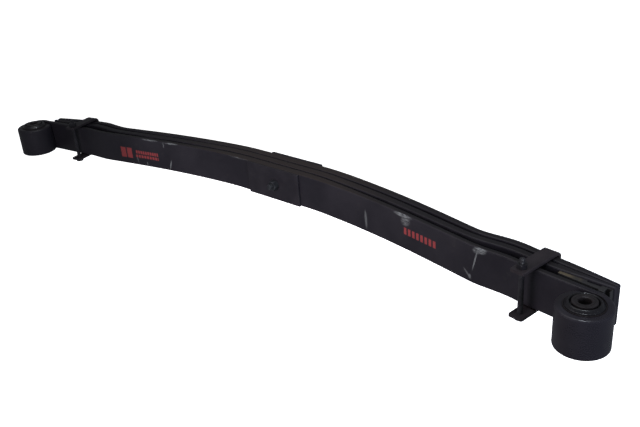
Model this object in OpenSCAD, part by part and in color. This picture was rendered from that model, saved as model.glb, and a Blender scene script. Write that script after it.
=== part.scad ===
// Three-leaf parabolic leaf spring for a truck axle, laid out as it sits on the axle.
// X runs along the spring (front eye at +X), Y along the eye axes, Z up.
// The origin is the axle seat: the underside of the bottom pad, on the centre bolt's axis.
// The modules are drawn about the point midway between the eyes, and every node is then
// moved so that the centre bolt stands at the origin. Millimetres throughout.

/* [Leaves] */
// width of every leaf
leaf_w = 80; // [60:1:100]
// distance from mid-span to the centre of each eye
half_span = 832.5; // [600:0.5:900]
// height of the eye centres above the axle seat, unloaded
eye_h = 215.5; // [150:0.5:260]
// half-length of the flat that is clamped to the axle
flat_half = 105; // [90:1:120]
// thickness of the main leaf and the second leaf where they are clamped
seat_t = 21; // [16:0.5:26]
// thickness of the third leaf where it is clamped
third_seat_t = 22; // [16:0.5:26]
// thickness of the main leaf between the clips and the middle, at its thinnest
main_thin_t = 11.5; // [9:0.5:14]
// how far the second and third leaves reach towards the front
front_reach = 853; // [700:1:870]
// how far the second and third leaves reach towards the rear
rear_reach = 814; // [700:1:870]

/* [Eyes] */
// inside radius of the rolled eyes
eye_r = 34.5; // [28:0.5:40]
// thickness of the main leaf where it is rolled
eye_t = 12.5; // [10:0.5:15]
// angle, below the horizontal, where the roll stops short of the leaf
roll_stop = 51.5; // [45:0.5:60]

/* [Eye bushes] */
// bore radius of the inner sleeve
bush_bore_r = 11; // [8:0.5:15]
// outside radius of the inner sleeve
core_r = 16; // [13:0.5:20]
// radius of the collars on the inner sleeve's ends
collar_r = 21; // [17:0.5:24]
// overall length of the inner sleeve
core_l = 88; // [82:1:100]
// wall of the bush's outer sleeve
sleeve_t = 2.2; // [1.5:0.1:4]
// how far the rubber stands out of the outer sleeve
lip_h = 3; // [1:0.5:5]

/* [Axle clamp] */
// thickness of the spacers between the leaves
spacer_t = 3.5; // [2:0.5:6]
// thickness of the top pad
top_pad_t = 5; // [3:0.5:10]
// length of the top pad
top_pad_l = 166; // [140:1:190]
// how far the top pad's middle lies behind the centre bolt
top_pad_shift = 8; // [0:1:12]
// thickness of the bottom pad
bottom_pad_t = 6; // [4:0.5:12]
// length of the bottom pad
bottom_pad_l = 162; // [140:1:190]
// how far the centre bolt lies in front of the point midway between the eyes
bolt_x = 12; // [-20:1:20]
// radius of the centre bolt
centre_bolt_r = 7; // [5:0.5:9]
// radius of the dowel head that locates the axle
dowel_r = 12.5; // [10:0.5:16]
// how far the dowel head stands below the axle seat
dowel_h = 10; // [6:0.5:15]
// how far the centre bolt stands out of its nut
centre_stud = 9; // [5:1:40]

/* [Rebound clips] */
// distance of the front clip's bolt from mid-span
front_clip_x = 707; // [500:1:730]
// height of the front clip's bolt above the axle seat
front_clip_h = 185.5; // [150:0.5:200]
// tilt of the front clip
front_clip_tilt = 7.8; // [0:0.1:14]
// distance from the front clip's bolt to the inside of its band's back
front_band_depth = 88.8; // [70:0.1:110]
// distance of the rear clip's bolt from mid-span
rear_clip_x = 688.5; // [500:0.5:730]
// height of the rear clip's bolt above the axle seat
rear_clip_h = 175; // [150:0.5:200]
// tilt of the rear clip
rear_clip_tilt = 12.5; // [0:0.1:14]
// distance from the rear clip's bolt to the inside of its band's back
rear_band_depth = 80; // [70:0.1:110]
// width of the band
band_w = 30; // [25:1:40]
// thickness of the band
band_t = 6; // [4:0.5:8]
// gap between the band and the edges of the leaves
band_gap = 2.5; // [1:0.5:5]
// how far the band's ears reach past the clip bolt
ear_reach = 15; // [12:0.5:24]
// radius of the ears' corners
ear_corner = 4; // [2:0.5:10]
// radius of the clip bolts
clip_bolt_r = 5; // [4:0.5:8]
// width across flats of the clip bolts' heads and nuts
clip_af = 17; // [13:1:24]

/* [Tip liners] */
// where the upper liners start, from mid-span
liner_x = 754; // [740:1:780]
// where the upper liner ends at the front, past the eye
liner_front_end = 851; // [820:1:855]
// where the upper liner ends at the rear, past the second leaf
liner_rear_end = 829; // [800:1:832]
// thickness of the front upper liner where it starts
front_liner_t = 7; // [3:0.5:12]
// thickness of the rear upper liner
rear_liner_t = 3.7; // [3:0.1:6]

/* [Hidden] */

paint = [0.17, 0.16, 0.18];
plate_paint = [0.20, 0.19, 0.21];
rubber_black = [0.10, 0.10, 0.11];
bare_steel = [0.42, 0.42, 0.43];
dark_steel = [0.24, 0.26, 0.27];
liner_tan = [0.50, 0.46, 0.34];

$fn = 96;

// heights in the clamped stack, from the axle seat up
third_top = bottom_pad_t + third_seat_t;
second_low = third_top + spacer_t;
second_top = second_low + seat_t;
main_low = second_top + spacer_t;
main_top = main_low + seat_t;
pad_top = main_top + top_pad_t;

// A leaf's top face follows a law of [distance from mid-span, slope], linear in between,
// and its thickness a law of [distance from mid-span, thickness].
main_slopes = [[0, 0], [flat_half, 0], [165, 0.085], [440, 0.2], [570, 0.222], [615, 0.04],
    [640, 0.04], [680, 0.21], [720, 0.15], [750, 0.135], [half_span + 20, 0.135]];
main_thick = [[0, seat_t], [flat_half, seat_t], [200, 18], [300, 14.5], [400, 12.5],
    [500, main_thin_t], [640, main_thin_t], [760, eye_t], [815, eye_t], [845, eye_t - 2.5]];
second_slopes = [[0, 0], [flat_half, 0], [165, 0.095], [430, 0.205], [540, 0.205],
    [600, 0], [630, 0], [680, 0.2], [720, 0.17], [765, 0.055], [900, 0.11]];
second_thick = [[0, seat_t], [flat_half, seat_t], [200, 20], [300, 18.5], [400, 17],
    [500, 15.5], [700, 15.5], [755, 14.5], [785, 12.5], [820, 9.5], [860, 7]];
third_slopes = [[0, 0], [flat_half, 0], [165, 0.095], [450, 0.215], [545, 0.215],
    [600, -0.01], [630, 0.02], [680, 0.23], [740, 0.16], [900, 0.215]];
third_thick = [[0, third_seat_t], [flat_half, third_seat_t], [200, 21.5], [300, 19.6],
    [400, 18], [500, 16], [570, 13.8], [600, 15], [640, 16.4], [700, 15.7], [750, 16],
    [800, 13.6], [828, 12], [860, 10.3]];
// at the rear the second and third leaves close up to the main leaf towards their ends
rear_slopes = [[0, 0], [670, 0], [720, 0.14], [900, 0.14]];

function total(v, i = 0) = i < len(v) ? v[i] + total(v, i + 1) : 0;
function slope_part(a, b, x) = x <= a[0] ? 0 :
    let (e = min(x, b[0]), s = a[1] + (b[1] - a[1]) * (e - a[0]) / (b[0] - a[0]))
    (a[1] + s) / 2 * (e - a[0]);
function rise(x, law) = total([for (i = [0 : len(law) - 2]) slope_part(law[i], law[i + 1], x)]);

// the main leaf's top face runs into the inside of the eye just above its tangent, and the
// leaf's body runs on a little way inside the roll
eye_slope = atan(0.135);
tangent_x = half_span + eye_r * sin(eye_slope);
tangent_z = eye_h - eye_r * cos(eye_slope);
main_end = tangent_x + 8;
main_scale = (tangent_z + 0.2 - main_top) / rise(tangent_x, main_slopes);

function main_top_at(x) = main_top + main_scale * rise(abs(x), main_slopes);
function rear_lift(x) = x < 0 ? rise(-x, rear_slopes) : 0;
function second_top_at(x) = second_top + rise(abs(x), second_slopes) + rear_lift(x);
function third_top_at(x) = third_top + rise(abs(x), third_slopes) + rear_lift(x);
function second_low_at(x) = second_top_at(x) - lookup(abs(x), second_thick);
function third_low_at(x) = third_top_at(x) - lookup(abs(x), third_thick);

// distances from mid-span at which the leaves' faces are laid out, up to a given end
function stations(last) = concat([0, 50, 105, 125, 145, 165],
    [for (x = [190 : 25 : last - 12]) x], [last]);
// the same, from the rear end to the front end
function both_ways(rear, front) = concat([for (i = [len(stations(rear)) - 1 : -1 : 1])
    -stations(rear)[i]], stations(front));

// a profile drawn in X and Z, given width along Y
module across(w) {
    rotate([90, 0, 0]) linear_extrude(height = w, center = true) children();
}

// a round bar along Y
module bar_y(r, l) {
    rotate([90, 0, 0]) cylinder(r = r, h = l, center = true);
}

// a round hole along Z
module hole_z(r, x, z0, z1) {
    translate([x, 0, z0]) cylinder(r = r, h = z1 - z0);
}

module centre_hole() {
    hole_z(centre_bolt_r + 0.5, bolt_x, -20, 200);
}

// the roll is open from its end down to the leaf, whose own face closes the cut
module eye_roll() {
    stop = 180 + roll_stop;
    cut_r = eye_r + 1;
    reach = cut_r / cos(stop - 270 - eye_slope);
    difference() {
        bar_y(eye_r + eye_t, leaf_w);
        across(leaf_w + 2) polygon([[0, 0], [reach * cos(stop), reach * sin(stop)],
            [cut_r * sin(eye_slope), -cut_r * cos(eye_slope)]]);
    }
}

module main_leaf() {
    xs = both_ways(main_end, main_end);
    color(paint) difference() {
        union() {
            across(leaf_w) polygon(concat(
                [for (x = xs) [x, main_top_at(x)]],
                [for (i = [len(xs) - 1 : -1 : 0])
                    [xs[i], main_top_at(xs[i]) - lookup(abs(xs[i]), main_thick)]]));
            translate([half_span, 0, eye_h]) eye_roll();
            mirror([1, 0, 0]) translate([half_span, 0, eye_h]) eye_roll();
        }
        translate([half_span, 0, eye_h]) bar_y(eye_r, leaf_w + 2);
        translate([-half_span, 0, eye_h]) bar_y(eye_r, leaf_w + 2);
        centre_hole();
    }
}

liner_stud_x = 785;

module second_leaf() {
    xs = both_ways(rear_reach, front_reach);
    color(paint) difference() {
        across(leaf_w) polygon(concat(
            [for (x = xs) [x, second_top_at(x)]],
            [for (i = [len(xs) - 1 : -1 : 0]) [xs[i], second_low_at(xs[i])]]));
        centre_hole();
        for (s = [-1, 1]) hole_z(6.2, s * liner_stud_x, 100, 180);
    }
}

module third_leaf() {
    xs = both_ways(rear_reach, front_reach);
    color(paint) difference() {
        across(leaf_w) polygon(concat(
            [for (x = xs) [x, third_top_at(x)]],
            [for (i = [len(xs) - 1 : -1 : 0]) [xs[i], third_low_at(xs[i])]]));
        centre_hole();
        for (s = [-1, 1])
            at_clip(s) translate([0, 0, -band_depth(s) - 10]) cylinder(r = 5.2, h = 40);
    }
}

// a flat plate of the clamp, with the centre bolt's hole
module clamp_plate(l, w, z0, t, hole, shift = 0) {
    difference() {
        translate([bolt_x - shift - l / 2, -w / 2, z0]) cube([l, w, t]);
        hole_z(hole, bolt_x, z0 - 1, z0 + t + 1);
    }
}

module top_pad() {
    color(plate_paint) clamp_plate(top_pad_l, leaf_w, main_top, top_pad_t, centre_bolt_r + 0.5,
        top_pad_shift);
}

module bottom_pad() {
    color(plate_paint) clamp_plate(bottom_pad_l, leaf_w, 0, bottom_pad_t, dowel_r + 2.5);
}

module centre_spacer_upper() {
    color(plate_paint) clamp_plate(160, leaf_w - 12, second_top, spacer_t, centre_bolt_r + 0.5);
}

module centre_spacer_lower() {
    color(plate_paint) clamp_plate(160, leaf_w - 12, third_top, spacer_t, centre_bolt_r + 0.5);
}

centre_nut_h = 13;

module centre_bolt() {
    end = pad_top + centre_nut_h + centre_stud;
    color(dark_steel) translate([bolt_x, 0, 0]) rotate_extrude() polygon([[0, -dowel_h],
        [dowel_r - 1.5, -dowel_h], [dowel_r, -dowel_h + 1.5], [dowel_r, 0.3], [dowel_r + 2, 0.3],
        [dowel_r + 2, bottom_pad_t], [centre_bolt_r, bottom_pad_t],
        [centre_bolt_r, end - 1.5], [centre_bolt_r - 1.5, end], [0, end]]);
}

// a hexagon nut along Z, standing on z = 0
module hex_nut(af, h, bore) {
    difference() {
        intersection() {
            cylinder(r = af / sqrt(3), h = h, $fn = 6);
            rotate_extrude() polygon([[0, 0], [af / 2, 0], [af / sqrt(3), af * 0.055],
                [af / sqrt(3), h - af * 0.055], [af / 2, h], [0, h]]);
        }
        translate([0, 0, -1]) cylinder(r = bore, h = h + 2);
    }
}

module centre_nut() {
    color(dark_steel) translate([bolt_x, 0, pad_top])
        hex_nut(22, centre_nut_h, centre_bolt_r + 0.05);
}

// the bush's pieces lie around Y, about the middle of the eye
module bush_sleeve() {
    color(dark_steel) difference() {
        bar_y(eye_r - 0.05, leaf_w);
        bar_y(eye_r - sleeve_t, leaf_w + 2);
    }
}

module bush_rubber() {
    out = eye_r - sleeve_t - 0.05;
    half = leaf_w / 2;
    // half of the section from the core outwards, mirrored for the other end
    face = [[core_r + 0.05, half - 4], [collar_r + 1.5, half - 4], [collar_r + 2, half - 1],
        [collar_r + 3.2, half + lip_h - 0.8], [collar_r + 5, half + lip_h],
        [collar_r + 7, half + lip_h - 0.8], [collar_r + 9, half - 1.5], [out, half - 3]];
    color(rubber_black) rotate([90, 0, 0]) rotate_extrude() polygon(concat(face,
        [for (i = [len(face) - 1 : -1 : 0]) [face[i][0], -face[i][1]]]));
}

module bush_core() {
    color(bare_steel) rotate([90, 0, 0]) rotate_extrude() polygon([
        [bush_bore_r, -core_l / 2 + 1], [bush_bore_r + 1, -core_l / 2],
        [collar_r - 1, -core_l / 2], [collar_r, -core_l / 2 + 1],
        [collar_r, -core_l / 2 + 4], [core_r, -core_l / 2 + 6],
        [core_r, core_l / 2 - 6], [collar_r, core_l / 2 - 4], [collar_r, core_l / 2 - 1],
        [collar_r - 1, core_l / 2], [bush_bore_r + 1, core_l / 2],
        [bush_bore_r, core_l / 2 - 1]]);
}

module at_eye(s) {
    translate([s * half_span, 0, eye_h]) children();
}

module front_bush_sleeve() { at_eye(1) bush_sleeve(); }
module front_bush_rubber() { at_eye(1) bush_rubber(); }
module front_bush_core() { at_eye(1) bush_core(); }
module rear_bush_sleeve() { at_eye(-1) bush_sleeve(); }
module rear_bush_rubber() { at_eye(-1) bush_rubber(); }
module rear_bush_core() { at_eye(-1) bush_core(); }

// a clip is drawn about its own bolt: X along the leaves, Y along the bolt, Z away from them
function clip_x(s) = s > 0 ? front_clip_x : -rear_clip_x;
function clip_h(s) = s > 0 ? front_clip_h : rear_clip_h;
function clip_tilt(s) = s > 0 ? front_clip_tilt : -rear_clip_tilt;
function band_depth(s) = s > 0 ? front_band_depth : rear_band_depth;

module at_clip(s) {
    translate([clip_x(s), 0, clip_h(s)]) rotate([0, -clip_tilt(s), 0]) children();
}

band_in = leaf_w / 2 + band_gap;
band_out = band_in + band_t;
band_corner = 6;

module band_corner_piece(s, depth) {
    r_out = band_corner + band_t;
    translate([0, s * (band_in - band_corner), -depth + band_corner])
        intersection() {
            rotate([0, 90, 0]) difference() {
                cylinder(r = r_out, h = band_w, center = true);
                cylinder(r = band_corner, h = band_w + 2, center = true);
            }
            translate([-band_w, s > 0 ? 0 : -40, -40]) cube([2 * band_w, 40, 40]);
        }
}

module clip_band(depth) {
    color(plate_paint) difference() {
        union() {
            for (s = [-1, 1]) {
                translate([-band_w / 2, s > 0 ? band_in : -band_out, -depth + band_corner])
                    cube([band_w, band_t, depth - band_corner + ear_reach - ear_corner]);
                translate([ear_corner - band_w / 2, s > 0 ? band_in : -band_out, 0])
                    cube([band_w - 2 * ear_corner, band_t, ear_reach]);
                for (t = [-1, 1])
                    translate([t * (band_w / 2 - ear_corner), s * (band_in + band_t / 2),
                        ear_reach - ear_corner]) bar_y(ear_corner, band_t);
                band_corner_piece(s, depth);
            }
            translate([-band_w / 2, -band_in + band_corner, -depth - band_t])
                cube([band_w, 2 * (band_in - band_corner), band_t]);
        }
        bar_y(clip_bolt_r + 0.5, 2 * band_out + 10);
        translate([0, 0, -depth - band_t - 1]) cylinder(r = 5.2, h = band_t + 2);
    }
}

clip_head_h = 6.4;
clip_nut_h = 9;
clip_stud = 10;

module clip_bolt() {
    l = 2 * band_out + clip_nut_h + clip_stud;
    color(dark_steel) rotate([-90, 0, 0]) translate([0, 0, -band_out]) {
        rotate_extrude() polygon([[0, -1], [clip_bolt_r, -1], [clip_bolt_r, l - 1.2],
            [clip_bolt_r - 1.2, l], [0, l]]);
        translate([0, 0, -clip_head_h]) intersection() {
            cylinder(r = clip_af / sqrt(3), h = clip_head_h, $fn = 6);
            rotate_extrude() polygon([[0, 0], [clip_af / 2, 0],
                [clip_af / sqrt(3), clip_af * 0.055], [clip_af / sqrt(3), clip_head_h],
                [0, clip_head_h]]);
        }
    }
}

module clip_nut() {
    color(dark_steel) rotate([-90, 0, 0]) translate([0, 0, band_out])
        hex_nut(clip_af, clip_nut_h, clip_bolt_r + 0.05);
}

// the rivet holds the band to the third leaf: it has a head under the band and one on the leaf
module clip_rivet(s) {
    low = -band_depth(s) - band_t;
    leaf_x = clip_x(s) + (band_depth(s) - 15) * sin(clip_tilt(s));
    leaf_face = (third_top_at(leaf_x) - clip_h(s)) / cos(clip_tilt(s)) + 1;
    color(dark_steel) rotate_extrude() polygon([[0, low - 4], [4, low - 3.6], [7, low - 2.2],
        [9, low], [5, low], [5, leaf_face], [8, leaf_face], [6.5, leaf_face + 1.3],
        [3, leaf_face + 2.1], [0, leaf_face + 2.2]]);
}

module front_clip_band() { at_clip(1) clip_band(front_band_depth); }
module front_clip_bolt() { at_clip(1) clip_bolt(); }
module front_clip_nut() { at_clip(1) clip_nut(); }
module front_clip_rivet() { at_clip(1) clip_rivet(1); }
module rear_clip_band() { at_clip(-1) clip_band(rear_band_depth); }
module rear_clip_bolt() { at_clip(-1) clip_bolt(); }
module rear_clip_nut() { at_clip(-1) clip_nut(); }
module rear_clip_rivet() { at_clip(-1) clip_rivet(-1); }

// The upper liner rests on the second leaf, and a stud holds it there. The front one is relieved
// underneath towards its tip and comes down again in a lip.
liner_w = leaf_w - 7;
relief_x = 805;
relief_h = 4;

module liner_stud(s) {
    translate([s * liner_stud_x, 0, second_low_at(s * liner_stud_x) + 3])
        cylinder(r = 6, h = lookup(liner_stud_x, second_thick));
}

module front_tip_liner_upper() {
    xs = [for (x = [liner_x : 9.5 : liner_front_end - 12]) x];
    tip = liner_front_end;
    foot = tip - 8;
    color(liner_tan) {
        across(liner_w) polygon(concat(
            [for (x = xs) if (x <= relief_x) [x, second_top_at(x) + 0.2]],
            [for (x = concat([relief_x], [for (x = xs) if (x > relief_x) x], [foot]))
                [x, second_top_at(x) + relief_h]],
            [[foot, second_top_at(foot) + 0.2], [tip, second_top_at(tip) + 0.2]],
            [for (x = concat([tip], [for (i = [len(xs) - 1 : -1 : 0]) xs[i]]))
                [x, second_top_at(x) + front_liner_t + 0.2 + 0.08 * (x - liner_x)]]));
        liner_stud(1);
    }
}

module rear_tip_liner_upper() {
    xs = [for (x = [liner_x : 14.6 : liner_rear_end]) -x];
    color(liner_tan) {
        across(liner_w) polygon(concat([for (x = xs) [x, second_top_at(x) + 0.2]],
            [for (i = [len(xs) - 1 : -1 : 0]) [xs[i], second_top_at(xs[i]) + rear_liner_t + 0.2]]));
        liner_stud(-1);
    }
}

// the lower liner fills the wedge between the second and third leaves
module liner_lower(s) {
    xs = [for (x = [742 : 14.5 : 800]) s * x];
    color(liner_tan) across(liner_w) polygon(concat(
        [for (x = xs) [x, third_top_at(x) + 0.2]],
        [for (i = [len(xs) - 1 : -1 : 0]) [xs[i], second_low_at(xs[i]) - 0.3]]));
}

module front_tip_liner_lower() { liner_lower(1); }
module rear_tip_liner_lower() { liner_lower(-1); }

// puts the centre bolt at the origin
module from_bolt() {
    translate([-bolt_x, 0, 0]) children();
}

from_bolt() main_leaf();
from_bolt() second_leaf();
from_bolt() third_leaf();
from_bolt() top_pad();
from_bolt() bottom_pad();
from_bolt() centre_spacer_upper();
from_bolt() centre_spacer_lower();
from_bolt() centre_bolt();
from_bolt() centre_nut();
from_bolt() front_bush_sleeve();
from_bolt() front_bush_rubber();
from_bolt() front_bush_core();
from_bolt() rear_bush_sleeve();
from_bolt() rear_bush_rubber();
from_bolt() rear_bush_core();
from_bolt() front_clip_band();
from_bolt() front_clip_bolt();
from_bolt() front_clip_nut();
from_bolt() front_clip_rivet();
from_bolt() rear_clip_band();
from_bolt() rear_clip_bolt();
from_bolt() rear_clip_nut();
from_bolt() rear_clip_rivet();
from_bolt() front_tip_liner_upper();
from_bolt() front_tip_liner_lower();
from_bolt() rear_tip_liner_upper();
from_bolt() rear_tip_liner_lower();
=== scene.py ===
"""Looks for a three-leaf parabolic leaf spring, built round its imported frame.

Metres, +X towards the front eye, +Y along the eye axes, +Z up in use. The spring is photographed
from in front, above and beside, with the eye axes upright in the picture.
"""
import math

import bpy
import bmesh
import numpy as np
from mathutils import Matrix, Vector


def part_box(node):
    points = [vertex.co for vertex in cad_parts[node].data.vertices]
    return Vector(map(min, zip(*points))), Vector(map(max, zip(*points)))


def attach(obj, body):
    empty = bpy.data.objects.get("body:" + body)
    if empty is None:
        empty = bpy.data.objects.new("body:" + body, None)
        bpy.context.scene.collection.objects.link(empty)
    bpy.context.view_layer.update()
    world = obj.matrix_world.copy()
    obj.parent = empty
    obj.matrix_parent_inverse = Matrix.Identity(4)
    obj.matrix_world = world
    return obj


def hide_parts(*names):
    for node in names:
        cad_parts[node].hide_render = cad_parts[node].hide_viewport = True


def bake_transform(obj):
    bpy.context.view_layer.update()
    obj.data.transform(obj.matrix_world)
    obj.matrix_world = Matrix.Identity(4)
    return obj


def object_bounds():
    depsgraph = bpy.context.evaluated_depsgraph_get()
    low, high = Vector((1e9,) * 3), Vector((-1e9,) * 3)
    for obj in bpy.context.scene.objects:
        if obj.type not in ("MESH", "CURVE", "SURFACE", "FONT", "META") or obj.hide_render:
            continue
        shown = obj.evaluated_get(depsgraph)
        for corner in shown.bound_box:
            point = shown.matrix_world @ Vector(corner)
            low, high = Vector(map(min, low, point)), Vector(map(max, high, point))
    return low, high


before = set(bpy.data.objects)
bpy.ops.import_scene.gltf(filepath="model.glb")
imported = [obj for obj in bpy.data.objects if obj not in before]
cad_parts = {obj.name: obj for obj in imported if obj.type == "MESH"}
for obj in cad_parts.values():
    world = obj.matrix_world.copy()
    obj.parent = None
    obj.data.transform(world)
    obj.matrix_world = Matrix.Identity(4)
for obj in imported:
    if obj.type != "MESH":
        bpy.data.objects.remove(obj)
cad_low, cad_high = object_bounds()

MM = 0.001
ENDS = {"front": 1, "rear": -1}
SHARP = 35                                            # degrees: an edge this sharp stays sharp
ON_AXIS = 0.01 * MM                                   # how near a turned shell comes to its axis


# ---------------------------------------------------------------- places, from the frame

# Pieces are drawn about the point midway between the eyes, and moved by MID as they are made.
MID = Vector(((cad_low.x + cad_high.x) / 2, 0, 0))


def box(node):
    low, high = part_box(node)
    return low - MID, high - MID


def middle(node):
    low, high = box(node)
    return (low + high) / 2


EYE = middle("front_bush_core")                       # the front eye's centre
LEAF_HALF_W = box("main_leaf")[1].y                   # half of the leaves' width
SLEEVE_OUT = box("front_bush_sleeve")[1].x - EYE.x
EYE_R = SLEEVE_OUT + 0.05 * MM                        # inside of the rolled eye
EYE_OUT = box("main_leaf")[1].x - EYE.x               # outside of the rolled eye
EYE_T = EYE_OUT - EYE_R                               # thickness of the leaf in the roll
EDGE_R = 3.2 * MM                                     # rounding of the leaves' long edges
ROLL_END = math.radians(180 + 51.5)                   # where the roll stops, at its outside
ROLL_LEAN = math.radians(20)                          # how much further round its inside reaches
ROLL_NEAR_R, ROLL_FAR_R, ROLL_IN_R = 4.5 * MM, 3 * MM, 0.8 * MM   # rounding of the eye's rims
ROLL_CUT = 4.5 * MM                                   # how far the roll's near rim is ground back
SLEEVE_CUT = 3.4 * MM                                 # and the sleeve's
RUBBER_OUT = box("front_bush_rubber")[1].x - EYE.x
CORE_HALF_L = box("front_bush_core")[1].y
CLAMP_HALF = 105 * MM                                 # half of the clamped flat
LEAF_REACH = 900 * MM                                 # past the tip of every leaf


# ---------------------------------------------------------------- shells: (points, faces)

def grid(rows, caps=True):
    """Quads between closed loops of points, with an n-gon over the first loop and over the last."""
    n = len(rows[0])
    points = [p for row in rows for p in row]
    faces = []
    for i in range(len(rows) - 1):
        for j in range(n):
            k = (j + 1) % n
            faces.append((i * n + j, i * n + k, (i + 1) * n + k, (i + 1) * n + j))
    if caps:
        faces.append(tuple(range(n)))
        faces.append(tuple((len(rows) - 1) * n + j for j in range(n)))
    return points, faces


def ring_grid(rows):
    """The same without the n-gons, and with the last loop joined to the first."""
    points, faces = grid(rows, caps=False)
    n = len(rows[0])
    last = (len(rows) - 1) * n
    for j in range(n):
        k = (j + 1) % n
        faces.append((last + j, last + k, k, j))
    return points, faces


def moved(shell, matrix):
    return [matrix @ Vector(p) for p in shell[0]], shell[1]


def lathe(profile, steps=96, ring=True):
    """A profile of (radius, height) turned round Z.

    A ring's profile is a closed loop. Any other is open, with both of its ends on the axis.
    """
    angles = [2 * math.pi * k / steps for k in range(steps)]
    rows = [[(max(r, ON_AXIS) * math.cos(a), max(r, ON_AXIS) * math.sin(a), z) for a in angles]
            for r, z in profile]
    return ring_grid(rows) if ring else grid(rows)


def fillet(outline, radii, steps=5):
    """An outline of 2-D points with each corner rounded by its radius (0 leaves it sharp)."""
    out = []
    n = len(outline)
    for i in range(n):
        p = Vector(outline[i])
        a, b = Vector(outline[i - 1]) - p, Vector(outline[(i + 1) % n]) - p
        r = radii[i] if isinstance(radii, (list, tuple)) else radii
        half = a.angle(b) / 2
        back = r / math.tan(half) if r else 0
        back = min(back, 0.49 * a.length, 0.49 * b.length)   # less than half of either side
        if back < 0.0001 * MM:
            out.append(tuple(p))
            continue
        a.normalize()
        b.normalize()
        start, end = p + a * back, p + b * back
        for k in range(steps + 1):
            t = k / steps
            out.append(tuple((1 - t) ** 2 * start + 2 * t * (1 - t) * p + t * t * end))
    return out


def fillet_open(profile, r, steps=4):
    """The same for an open profile, whose ends stay as they are."""
    return fillet(profile, [0] + [r] * (len(profile) - 2) + [0], steps)


def prism(outline, half_w):
    """An outline in X and Z, given width along Y."""
    rows = [[(x, y, z) for x, z in outline] for y in (-half_w, half_w)]
    return grid(rows)


def hexagon(across, height, bore=0.0, steps=60):
    """A hexagon head or nut on Z = 0, its corners turned off at 30 degrees."""
    face_r = across / 2 * 0.97
    angles = [2 * math.pi * k / steps for k in range(steps)]
    out = [across / 2 / math.cos((a % (math.pi / 3)) - math.pi / 6) for a in angles]
    drop = [(r - face_r) * math.tan(math.radians(30)) for r in out]

    def loop(radii, heights):
        return [(r * math.cos(a), r * math.sin(a), h) for r, a, h in zip(radii, angles, heights)]

    def circle(r, h):
        return loop([r] * steps, [h] * steps)

    rows = [circle(face_r, 0.0), loop(out, drop), loop(out, [height - d for d in drop]),
            circle(face_r, height)]
    if not bore:
        return grid(rows)
    chamfer = 0.7 * MM
    rows += [circle(bore + chamfer, height), circle(bore, height - chamfer),
             circle(bore, chamfer), circle(bore + chamfer, 0.0)]
    return ring_grid(rows)


def thread(radius, length, pitch, steps=40):
    """A threaded rod along Z from 0 to length, with a turned-off end."""
    depth, chamfer, rows_per_turn = 0.6 * pitch, 1.2 * MM, 10
    rows = []
    count = int(length / pitch * rows_per_turn)
    for i in range(count + 1):
        z = length * i / count
        row = []
        for k in range(steps):
            phase = (z / pitch - k / steps) % 1.0
            # straight flanks between slightly flat crests and roots
            cut = max(0.0, min(1.0, abs(2 * phase - 1) * 1.3 - 0.15)) * depth
            r = min(radius - cut, (length - z) + radius - chamfer)
            a = 2 * math.pi * k / steps
            row.append((r * math.cos(a), r * math.sin(a), z))
        rows.append(row)
    return grid(rows)


def plate(outline, z0, z1, hole):
    """A flat plate with a round hole on the Z axis, from an outline about that axis."""
    inner = [(hole * x / math.hypot(x, y), hole * y / math.hypot(x, y)) for x, y in outline]
    section = ((inner, z0), (outline, z0), (outline, z1), (inner, z1))
    return ring_grid([[(x, y, z) for x, y in loop] for loop, z in section])


def rectangle(length, width, corner, shift=0.0, step=8 * MM):
    """A rectangle's outline, shifted along X, with rounded corners and points all along its sides."""
    x, y = length / 2, width / 2
    corners = fillet([(-x, -y), (x, -y), (x, y), (-x, y)], corner, 4)
    out = []
    for i, a in enumerate(corners):
        b = corners[(i + 1) % len(corners)]
        parts = max(1, int(math.dist(a, b) / step))
        for k in range(parts):
            t = k / parts
            out.append((a[0] + (b[0] - a[0]) * t + shift, a[1] + (b[1] - a[1]) * t))
    return out


# ---------------------------------------------------------------- pieces

MATERIALS = {}


def piece(name, shells, body, material, nodes=(), sharp=SHARP, bevel=0.0):
    """Makes an object of the shells and hangs it on a body, if one is named.

    The attribute "rest" keeps where each point lies from MID at rest.
    """
    points, faces = [], []
    for shell_points, shell_faces in shells:
        base = len(points)
        points += [tuple(p) for p in shell_points]
        faces += [tuple(base + i for i in f) for f in shell_faces]
    mesh = bpy.data.meshes.new(name)
    mesh.from_pydata([tuple(Vector(p) + MID) for p in points], [], faces)
    bm = bmesh.new()
    bm.from_mesh(mesh)
    bmesh.ops.recalc_face_normals(bm, faces=bm.faces)
    bm.to_mesh(mesh)
    bm.free()
    rest = mesh.attributes.new("rest", "FLOAT_VECTOR", "POINT")
    rest.data.foreach_set("vector", np.array(points, np.float32).ravel())
    mesh.polygons.foreach_set("use_smooth", [True] * len(mesh.polygons))
    mesh.set_sharp_from_angle(angle=math.radians(sharp))
    mesh.materials.append(MATERIALS[material])
    obj = bpy.data.objects.new(name, mesh)
    bpy.context.scene.collection.objects.link(obj)
    if bevel:
        mod = obj.modifiers.new("edges", "BEVEL")
        mod.width, mod.segments = bevel, 2
        mod.limit_method, mod.angle_limit = "ANGLE", math.radians(SHARP)
    mod = obj.modifiers.new("normals", "WEIGHTED_NORMAL")
    mod.keep_sharp, mod.weight = True, 80
    if body:
        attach(obj, body)
    if nodes:
        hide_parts(*nodes)
    return obj


# ---------------------------------------------------------------- the leaves

def face_line(node, up):
    """{X from MID: height} along the edge of a leaf's upper (1) or lower (-1) face in the frame."""
    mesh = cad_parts[node].data
    found = {}
    for face in mesh.polygons:
        if up * face.normal.z < 0.7:
            continue
        for i in face.vertices:
            co = mesh.vertices[i].co
            if co.y > LEAF_HALF_W - 0.1 * MM:
                found[round(co.x - MID.x, 5)] = co.z
    return found


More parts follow.
